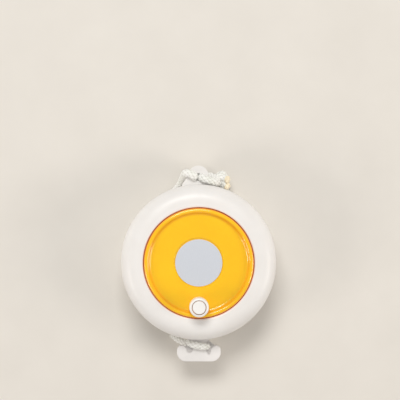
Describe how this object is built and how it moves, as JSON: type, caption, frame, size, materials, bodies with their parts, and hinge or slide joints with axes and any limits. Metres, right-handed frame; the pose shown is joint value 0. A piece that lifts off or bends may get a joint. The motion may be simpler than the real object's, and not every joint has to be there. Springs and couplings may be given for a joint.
{
  "type": "hand-crank clothesline reel",
  "caption": "Pocket clothesline reel: a round case with a hand-cranked disc winds a braided line that ends in a double hook, and hangs from a rope loop tied through a lug.",
  "frame": {"origin": "centre of the case's back face, on the reel axis", "axes": "+Z along the reel axis, out of the front; +Y towards the hanging lug; +X to the right as seen from the front"},
  "size_m": [0.08, 0.1019, 0.0382],
  "materials": {
    "case_white": "glossy moulded white plastic",
    "reel_yellow": "satin-gloss moulded yellow plastic",
    "knob_white": "glossy moulded white plastic",
    "hook_white": "satin moulded plastic",
    "guide_white": "smooth acetal",
    "label_silver": "matt silver foil sticker, plain",
    "line_braid": "braided polyester cord",
    "zinc_screw": "zinc-plated steel",
    "spring_steel": "spring steel"
  },
  "bodies": {
    "case": {"front_shell": "case_white", "rear_shell": "case_white", "case_screws": "zinc_screw", "line_guide": "guide_white", "centre_screw": "zinc_screw", "centre_washer": "zinc_screw", "drag_spring": "spring_steel", "line_lead": "line_braid", "hang_rope": "line_braid", "hang_knot": "line_braid"},
    "reel": {"spool_drum": "reel_yellow", "front_flange": "reel_yellow", "flange_screws": "zinc_screw", "crank_disc": "reel_yellow", "disc_label": "label_silver", "knob_pin": "knob_white", "wound_line": "line_braid"},
    "knob": {"knob_sleeve": "knob_white"},
    "hook": {"line_hook": "hook_white", "hook_hitch": "line_braid"}
  },
  "joints": [
    {"name": "reel_spin", "type": "hinge", "parent": "case", "child": "reel", "pos_m": [0, 0, 0.015], "axis": [0, 0, 1], "range_deg": [0, 18450]},
    {"name": "knob_spin", "type": "hinge", "parent": "reel", "child": "knob", "pos_m": [0, -0.0218, 0.0345], "axis": [0, 0, 1], "continuous": true},
    {"name": "line_pull", "type": "slide", "parent": "case", "child": "hook", "axis": [0, -1, 0], "range_m": [0, 6.22], "deforming": ["line_lead"]}
  ],
  "couplings": [
    {"joint": "line_pull", "follows": "reel_spin", "m_per_rad": 0.0193}
  ]
}
